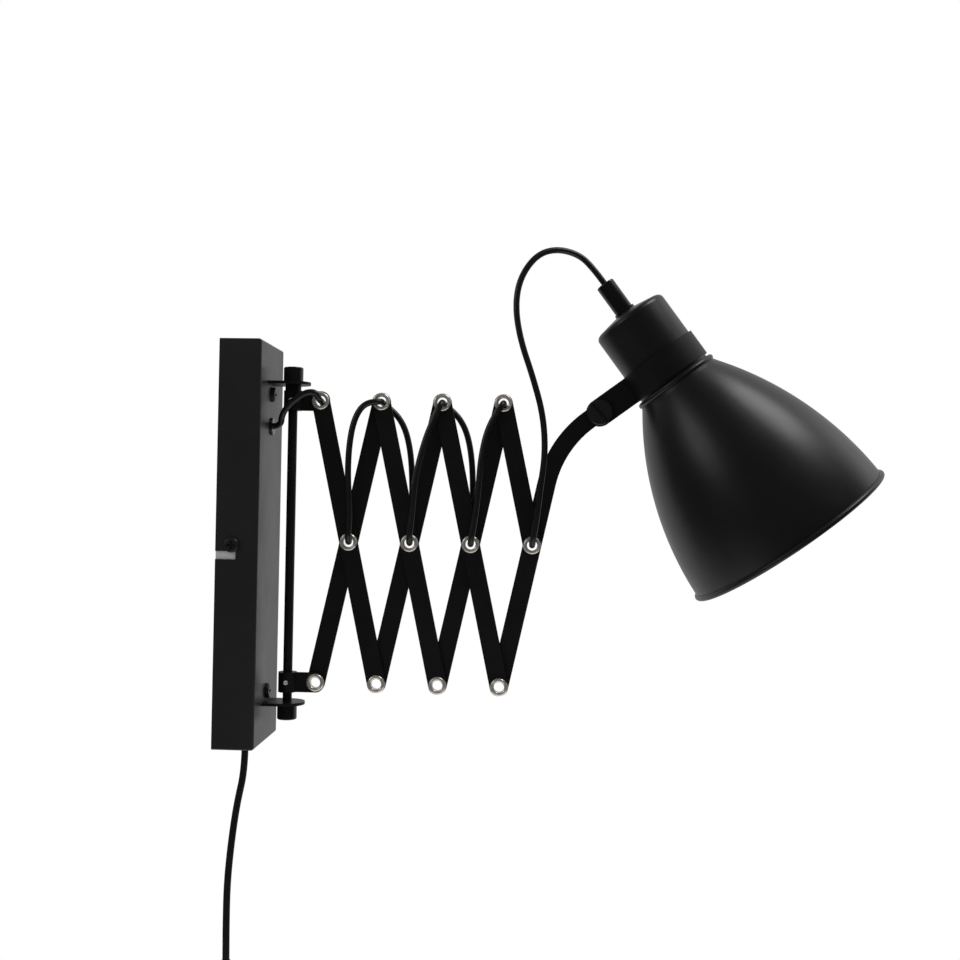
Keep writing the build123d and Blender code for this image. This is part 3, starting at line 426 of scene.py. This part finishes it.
for nodeName, obj in nodes.items():
    if nodeName.startswith("eyelet"):
        finish = "nickel"
    elif nodeName.startswith("bar_"):
        finish = "armPaint"
    elif nodeName.startswith("cord_") and nodeName != "cord_grip" or nodeName.startswith("mains_"):
        finish = finishOfNode.get(nodeName, "cordJacket")
    else:
        finish = finishOfNode[nodeName]
    obj.data.materials.clear()
    obj.data.materials.append(materials[finish])


# ---- cords
def curveLine(name, route, radius):
    curve = bpy.data.curves.new(name, "CURVE")
    curve.dimensions = "3D"
    spline = curve.splines.new("NURBS")
    spline.points.add(len(route) - 1)
    for point, place in zip(spline.points, route):
        point.co = (*place, 1.0)
    spline.order_u = 3
    spline.use_endpoint_u = True
    curve.resolution_u = 12
    curve.bevel_depth = radius
    curve.bevel_resolution = 5
    curve.use_fill_caps = True
    obj = bpy.data.objects.new(name, curve)
    bpy.context.scene.collection.objects.link(obj)
    curve.materials.append(materials["cordJacket"])
    return obj


def asMesh(obj):
    bpy.context.view_layer.update()
    mesh = bpy.data.meshes.new_from_object(obj.evaluated_get(bpy.context.evaluated_depsgraph_get()))
    name = obj.name
    bpy.data.objects.remove(obj)
    piece = bpy.data.objects.new(name, mesh)
    bpy.context.scene.collection.objects.link(piece)
    for polygon in mesh.polygons:
        polygon.use_smooth = True
    return piece


def inMetres(points):
    return [Vector(p) * mm for p in points]


armCord = {"radius": 0.0022, "plane": 0.006}

firstRoute = inMetres([
    (8.5, 0, 28), (8.5, 0, 52), (10.5, 0, 72), (18, 0, 82), (35.6, 0, 82), (37.8, -8, 89.5), (43, -9.7, 97),
    (49.5, -9.9, 102.4), (56, -9.5, 106), (62, -8.8, 105.8),
])
firstRoute += [topPivots[0] - Vector((0, armCord["plane"], 0)), topPivots[0]]
cordToArm = asMesh(curveLine("cordToArm", firstRoute, armCord["radius"]))
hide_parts("cord_to_arm")
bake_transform(cordToArm)

behindSlack = [((14, 12), (20.5, 32), (22.5, 62)), ((6.5, 20), (12.5, 46), (18.5, 74))]
for i, slack in enumerate((behindSlack[1], behindSlack[0], behindSlack[0], behindSlack[1])):
    start, end = topPivots[i], crossPivots[i]
    back = Vector((0, armCord["plane"], 0))
    route = [start, start + back]
    route += [start + back + Vector((dx * mm, 0, -dz * mm)) for dx, dz in slack]
    route += [end + back, end]
    cord = curveLine(f"cordBehind{i + 1}", route, armCord["radius"])
    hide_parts(f"cord_behind_{i + 1}")
    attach(cord, f"link_a{i + 1}")

frontSlack = [
    [(1.5, -6.4, 20), (-0.5, -6.8, 45), (0, -6.6, 68), (3.2, -6.3, 86.5), (10, -6, 97.5)],
    [(2.2, -6.3, 20), (3.6, -6.5, 45), (9.5, -6.3, 70), (15.5, -6, 86)],
    [(3, -6.3, 17), (5.2, -6.5, 38), (6.4, -6.4, 60), (11, -6, 82)],
]
for i, slack in enumerate(frontSlack):
    start, end = crossPivots[i], topPivots[i + 1]
    front = Vector((0, -armCord["plane"], 0))
    route = [start, start + front]
    route += [Vector((start.x + dx * mm, y * mm, start.z + dz * mm)) for dx, y, dz in slack]
    route += [end + front, end]
    cord = curveLine(f"cordFront{i + 1}", route, armCord["radius"])
    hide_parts(f"cord_front_{i + 1}")
    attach(cord, f"link_b{i + 1}")

gripTop = 0.2160  # end of the cord grip above the shade's rim
gripLead = 0.013  # straight cord above it
loopRoute = [crossPivots[3], crossPivots[3] - Vector((0, armCord["plane"], 0))]
loopRoute += inMetres([
    (217.5, -8, 18), (220, -10.5, 42), (223, -12, 66), (221, -12.2, 92), (213.5, -12.2, 118),
    (204.5, -12.2, 143.5), (200.5, -12, 167), (203.5, -11, 187), (214.5, -8, 203.5), (228.5, -3, 209),
    (244.5, 1.15, 205.8),
])
loopRoute += [rimMiddle - shadeValues["toMouth"] * height for height in (gripTop + gripLead, gripTop)]
cordToHead = asMesh(curveLine("cordToHead", loopRoute, armCord["radius"]))
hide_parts("cord_to_head")
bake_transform(cordToHead)

# ---- mains lead: two round wires side by side in one jacket
mainsLead = {"width": 0.0050, "thickness": 0.0029, "lobe": 8}


def splinePoints(route, smoothness):
    line = curveLine("line", route, 0)
    line.data.use_fill_caps = False
    line.data.resolution_u = smoothness
    bpy.context.view_layer.update()
    mesh = bpy.data.meshes.new_from_object(line.evaluated_get(bpy.context.evaluated_depsgraph_get()))
    points = [v.co.copy() for v in mesh.vertices]
    bpy.data.objects.remove(line)
    bpy.data.meshes.remove(mesh)
    return points


def twinFrame(points, k):
    ahead = (points[min(k + 1, len(points) - 1)] - points[max(k - 1, 0)]).normalized()
    wide = (Vector((1, 0, 0)) - ahead * ahead.x).normalized()
    thin = ahead.cross(wide)
    return Matrix.Translation(points[k]) @ Matrix((wide, thin, ahead)).transposed().to_4x4()


def twinTube(name, points, v):
    bm = bmesh.new()
    lobeRadius = v["thickness"] / 2
    offset = v["width"] / 2 - lobeRadius
    ring = []
    for side in (1, -1):
        for k in range(v["lobe"] + 1):
            angle = radians(-68 + 136 * k / v["lobe"])
            angle = angle * 1.55 if side > 0 else pi + angle * 1.55
            ring.append(bm.verts.new((side * offset + lobeRadius * cos(angle), lobeRadius * sin(angle), 0)))
    edges = [bm.edges.new((ring[k - 1], ring[k])) for k in range(len(ring))]
    bmesh.ops.transform(bm, matrix=twinFrame(points, 0), verts=ring)
    bmesh.ops.contextual_create(bm, geom=edges)
    last = ring
    for k in range(1, len(points)):
        made = bmesh.ops.extrude_edge_only(bm, edges=edges)["geom"]
        last = [g for g in made if isinstance(g, bmesh.types.BMVert)]
        edges = [g for g in made if isinstance(g, bmesh.types.BMEdge)]
        move = twinFrame(points, k) @ twinFrame(points, k - 1).inverted()
        bmesh.ops.transform(bm, matrix=move, verts=last)
    bmesh.ops.contextual_create(bm, geom=edges)
    bmesh.ops.recalc_face_normals(bm, faces=bm.faces)
    mesh = bpy.data.meshes.new(name)
    bm.to_mesh(mesh)
    bm.free()
    for polygon in mesh.polygons:
        polygon.use_smooth = True
    mesh.materials.append(materials["cordJacket"])
    obj = bpy.data.objects.new(name, mesh)
    bpy.context.scene.collection.objects.link(obj)
    return obj


def pathLength(points):
    return sum((b - a).length for a, b in zip(points, points[1:]))


innerRoute = inMetres([
    (14.7, 0, -141.6), (14.7, 0, -108), (12, 3, -76), (9, -3, -44), (8.5, 0, -16), (8.5, 0, 12),
])
innerLead = twinTube("mainsInner", splinePoints(innerRoute, 8), mainsLead)
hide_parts("mains_inner_lead")
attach(innerLead, "wall_unit")

mainsRoute = inMetres([
    (14.7, 0, -141.6), (14.7, 0, -161), (10.6, -3, -183), (8.2, -7, -208),
    (7.0, -12, -236), (8.2, -17, -264), (10, -22, -290), (10, -22, -306),
])
mainsPath = splinePoints(mainsRoute, 10)
mainsCord = twinTube("mainsLead", mainsPath, mainsLead)
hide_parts("mains_cord")
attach(mainsCord, "wall_unit")

coilValues = {
    "radius": 41.0, "pitch": 6.4, "layer": 6.0, "halfTurns": 7, "perHalf": 8, "drop": 38.0, "tail": 40.0,
    "start": (10.0, -22.0, -362.0),
}


def coilRoute(v):
    x, middleY, middleZ = v["start"][0], v["start"][1] + v["radius"], v["start"][2] - v["drop"]
    route = [v["start"], (x, v["start"][1], middleZ + v["drop"] / 2)]
    inner = v["radius"] - v["halfTurns"] * v["pitch"] / 2
    radii = [v["radius"] - v["pitch"] / 4 - k * v["pitch"] / 2 for k in range(v["halfTurns"])]
    radii += [inner] + [inner + v["pitch"] / 4 + k * v["pitch"] / 2 for k in range(v["halfTurns"] + 1)]
    y, side = -v["radius"], -1
    for turn, radius in enumerate(radii):
        climb = v["layer"] if turn == v["halfTurns"] else 0.0
        middle = y - side * radius
        outside = radius / cos(pi / v["perHalf"] / 2)  # control points of a smooth round
        for k in range(v["perHalf"]):
            part = (k + 0.5) / v["perHalf"]
            angle = (pi if side < 0 else 0.0) + pi * part
            place = Vector((climb * part, middle + outside * cos(angle), outside * sin(angle)))
            route.append(Vector((x, middleY, middleZ)) + place)
        x += climb
        y = middle - side * radius
        side = -side
    route.append((x, middleY + y, middleZ - v["tail"] / 2))
    route.append((x, middleY + y, middleZ - v["tail"]))
    return inMetres(route)


coilControl = coilRoute(coilValues)
coilPath = splinePoints(coilControl, 4)
mainsCoil = twinTube("mainsCoil", coilPath, mainsLead)
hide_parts("mains_coil")
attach(mainsCoil, "wall_unit")
# ---- strain reliefs, seam and screws on the lead's pieces
reliefValues = {
    "length": 20.0, "wide": (3.9, 3.3), "slim": (3.1, 2.2), "ribs": 6, "ribDepth": 0.45, "corners": 24,
}


def meshPiece(name, bm, finish, body):
    mesh = bpy.data.meshes.new(name)
    bm.to_mesh(mesh)
    bm.free()
    mesh.materials.append(materials[finish])
    obj = bpy.data.objects.new(name, mesh)
    bpy.context.scene.collection.objects.link(obj)
    mesh.shade_smooth()
    mesh.set_sharp_from_angle(angle=radians(35))
    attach(obj, body)
    return obj


def makeRelief(name, path, fromEnd, v):
    # a ribbed sleeve round the lead, wide where it leaves the moulded piece
    points = list(reversed(path)) if fromEnd else list(path)
    bm = bmesh.new()
    ring = bmesh.ops.create_circle(bm, segments=v["corners"], radius=1.0, cap_ends=True)["verts"]
    steps = v["ribs"] * 4
    walked, k, last = 0.0, 0, None
    edges = list(bm.edges)
    for step in range(steps + 1):
        along = v["length"] * mm * step / steps
        while walked + (points[k + 1] - points[k]).length < along:
            walked += (points[k + 1] - points[k]).length
            k += 1
        leg = points[k + 1] - points[k]
        middle = points[k] + leg.normalized() * (along - walked)
        share = step / steps
        groove = v["ribDepth"] if step % 4 in (2, 3) and 0 < step < steps else 0.0
        width = (v["wide"][0] + (v["slim"][0] - v["wide"][0]) * share - groove) * mm
        depth = (v["wide"][1] + (v["slim"][1] - v["wide"][1]) * share - groove) * mm
        ahead = leg.normalized()
        wide = (Vector((1, 0, 0)) - ahead * ahead.x).normalized()
        turned = Matrix((wide, ahead.cross(wide), ahead)).transposed().to_4x4()
        place = Matrix.Translation(middle) @ turned @ Matrix.Diagonal((width, depth, 1, 1))
        if last is None:
            bmesh.ops.transform(bm, matrix=place, verts=ring)
        else:
            made = bmesh.ops.extrude_edge_only(bm, edges=edges)["geom"]
            ring = [g for g in made if isinstance(g, bmesh.types.BMVert)]
            edges = [g for g in made if isinstance(g, bmesh.types.BMEdge)]
            bmesh.ops.transform(bm, matrix=place @ last.inverted(), verts=ring)
        last = place
    bmesh.ops.contextual_create(bm, geom=edges)
    bmesh.ops.recalc_face_normals(bm, faces=bm.faces)
    return meshPiece(name, bm, "mouldedBlack", "wall_unit")


makeRelief("switchReliefTop", mainsPath, True, reliefValues)
makeRelief("switchReliefLow", coilPath, False, reliefValues)
makeRelief("plugRelief", coilPath, True, reliefValues)

switchValues = {
    "middle": (10.0, -22.0, -334.0), "size": (16.0, 24.0, 56.0), "seam": 0.7, "proud": 0.12, "round": 1.6,
    "screws": ((-6.5, 20.0), (6.5, -20.0)), "screwRadius": 2.3, "screwHeight": 0.5, "screwCorners": 28,
    "recessRim": 0.6, "recessDepth": 0.2,
}


def makeSwitchSeam(v):
    # the joint between the two halves runs round as a fine raised edge
    bm = bmesh.new()
    x, y, z = v["middle"]
    box = Matrix.Translation(Vector((x, y, z)) * mm) @ Matrix.Diagonal(
        (v["seam"] * mm, (v["size"][1] + 2 * v["proud"]) * mm, (v["size"][2] + 2 * v["proud"]) * mm, 1)
    )
    bmesh.ops.create_cube(bm, size=1, matrix=box)
    upright = [e for e in bm.edges if abs(e.verts[0].co.x - e.verts[1].co.x) > v["seam"] * mm / 2]
    bmesh.ops.bevel(
        bm, geom=upright, offset=v["round"] * mm, segments=4, affect="EDGES", profile=0.5, material=-1,
        clamp_overlap=True,
    )
    bmesh.ops.recalc_face_normals(bm, faces=bm.faces)
    return meshPiece("switchSeam", bm, "mouldedBlack", "wall_unit")


def makeSwitchScrews(v):
    bm = bmesh.new()
    x, y, z = v["middle"]
    back = x - v["size"][0] / 2
    for across, up in v["screws"]:
        place = Matrix.Translation(Vector((back - v["screwHeight"] / 2 + 0.05, y + across, z + up)) * mm)
        place = place @ Matrix.Rotation(pi / 2, 4, "Y")
        made = bmesh.ops.create_cone(
            bm, cap_ends=True, segments=v["screwCorners"], radius1=v["screwRadius"] * mm,
            radius2=v["screwRadius"] * 0.86 * mm, depth=v["screwHeight"] * mm,
            matrix=place @ Matrix.Rotation(pi, 4, "X"),
        )["verts"]
        top = [f for f in bm.faces if len(f.verts) == v["screwCorners"] and all(p in made for p in f.verts)
               and f.calc_center_median().x < (back - v["screwHeight"] / 2) * mm]
        bmesh.ops.inset_region(bm, faces=top, thickness=v["recessRim"] * mm, depth=0)
        sunk = list({p for f in top for p in f.verts})
        bmesh.ops.translate(bm, vec=Vector((v["recessDepth"] * mm, 0, 0)), verts=sunk)
    bmesh.ops.recalc_face_normals(bm, faces=bm.faces)
    return meshPiece("switchScrews", bm, "screwBlack", "wall_unit")


makeSwitchSeam(switchValues)
makeSwitchScrews(switchValues)

plugValues = {
    "middle": (16.0, -25.2), "faceDepth": 13.7, "ribs": (-456.5, -459.5, -462.5, -465.5),
    "ribWidth": 19.0, "ribHeight": 1.3, "ribDeep": 1.0, "ribRound": 0.35,
}


def makePlugRibs(v):
    # ribs for the fingers on both flat faces
    bm = bmesh.new()
    for side in (-1, 1):
        for z in v["ribs"]:
            place = Vector((v["middle"][0] + side * v["faceDepth"] / 2, v["middle"][1], z)) * mm
            size = Matrix.Diagonal((v["ribDeep"] * mm, v["ribWidth"] * mm, v["ribHeight"] * mm, 1))
            bmesh.ops.create_cube(bm, size=1, matrix=Matrix.Translation(place) @ size)
    bmesh.ops.bevel(
        bm, geom=bm.edges[:], offset=v["ribRound"] * mm, segments=3, affect="EDGES", profile=0.5, material=-1,
        clamp_overlap=True,
    )
    return meshPiece("plugRibs", bm, "mouldedBlack", "wall_unit")


makePlugRibs(plugValues)
print("cords laid:", round(pathLength(mainsPath), 4), round(pathLength(coilPath), 4))

# ---- light, floor and background
lightValues = {
    "floorDrop": 0.02, "floorSize": 1.0, "floorPlace": (0.25, -0.2), "floorColour": (0.86, 0.86, 0.86),
    "floorLift": 0.2, "background": 1.0, "skyDiffuse": 0.75, "glossFront": 0.02, "glossBehind": 0.62,
    "lamps": {
        "key": {"place": (-1.5, -1.2, 0.9), "aim": (0.15, 0, 0), "size": 0.9, "power": 5},
        "overhead": {"place": (0.86, -0.16, 1.2), "aim": (0.34, 0, 0.08), "size": 0.6, "power": 6.5},
        "rightHigh": {"place": (1.7, 0.6, 0.95), "aim": (0.3, 0, 0.08), "size": 0.9, "power": 1.5},
    },
}


def makeFloor(v):
    size = v["floorSize"]
    bm = bmesh.new()
    place = Matrix.Translation((*v["floorPlace"], cadBox[0].z - v["floorDrop"]))
    bmesh.ops.create_grid(bm, x_segments=8, y_segments=8, size=size / 2, matrix=place)
    mesh = bpy.data.meshes.new("floor")
    bm.to_mesh(mesh)
    bm.free()
    floor = bpy.data.objects.new("floor", mesh)
    bpy.context.scene.collection.objects.link(floor)
    material = bpy.data.materials.new("paleFloor")
    material.use_nodes = True
    tree = material.node_tree
    shader = tree.nodes["Principled BSDF"]
    setInputs(
        shader, {"Base Color": (*v["floorColour"], 1), "Roughness": 0.8, "Emission Color": (1, 1, 1, 1)}
    )
    path = newNode(tree, "ShaderNodeLightPath")
    lift = mathNode(tree, "MULTIPLY", path.outputs["Is Camera Ray"], v["floorLift"])
    tree.links.new(lift, shader.inputs["Emission Strength"])
    mesh.materials.append(material)


def makeWorld(v):
    world = bpy.data.worlds.new("studio")
    bpy.context.scene.world = world
    world.use_nodes = True
    tree = world.node_tree
    background = tree.nodes["Background"]
    background.inputs["Color"].default_value = (1, 1, 1, 1)
    path = newNode(tree, "ShaderNodeLightPath")
    coords = newNode(tree, "ShaderNodeTexCoord")
    apart = newNode(tree, "ShaderNodeSeparateXYZ")
    tree.links.new(coords.outputs["Generated"], apart.inputs["Vector"])
    # the pale backdrop stands behind the lamp, the camera's side is dark
    gloss = rangeNode(tree, apart.outputs["Y"], -0.1, 0.6, v["glossFront"], v["glossBehind"])
    plain = mathNode(tree, "SUBTRACT", 1.0, path.outputs["Is Glossy Ray"])
    strength = mathNode(tree, "MULTIPLY", path.outputs["Is Glossy Ray"], gloss)
    strength = mathNode(tree, "ADD", strength, mathNode(tree, "MULTIPLY", plain, v["skyDiffuse"]))
    seen = mathNode(tree, "MAXIMUM", path.outputs["Is Camera Ray"], path.outputs["Is Transmission Ray"])
    strength = mathNode(tree, "MAXIMUM", strength, mathNode(tree, "MULTIPLY", seen, v["background"]))
    tree.links.new(strength, background.inputs["Strength"])


def makeLamp(name, v):
    data = bpy.data.lights.new(name, "AREA")
    data.shape = "SQUARE"
    data.size = v["size"]
    data.energy = v["power"]
    lamp = bpy.data.objects.new(name, data)
    bpy.context.scene.collection.objects.link(lamp)
    aim = Vector(v["aim"]) - Vector(v["place"])
    lamp.matrix_world = Matrix.Translation(v["place"]) @ aim.to_track_quat("-Z", "Y").to_matrix().to_4x4()


makeFloor(lightValues)
makeWorld(lightValues)
for lampName, lampValues in lightValues["lamps"].items():
    makeLamp(lampName, lampValues)
bpy.context.scene.view_settings.view_transform = "Standard"
print("studio lit")
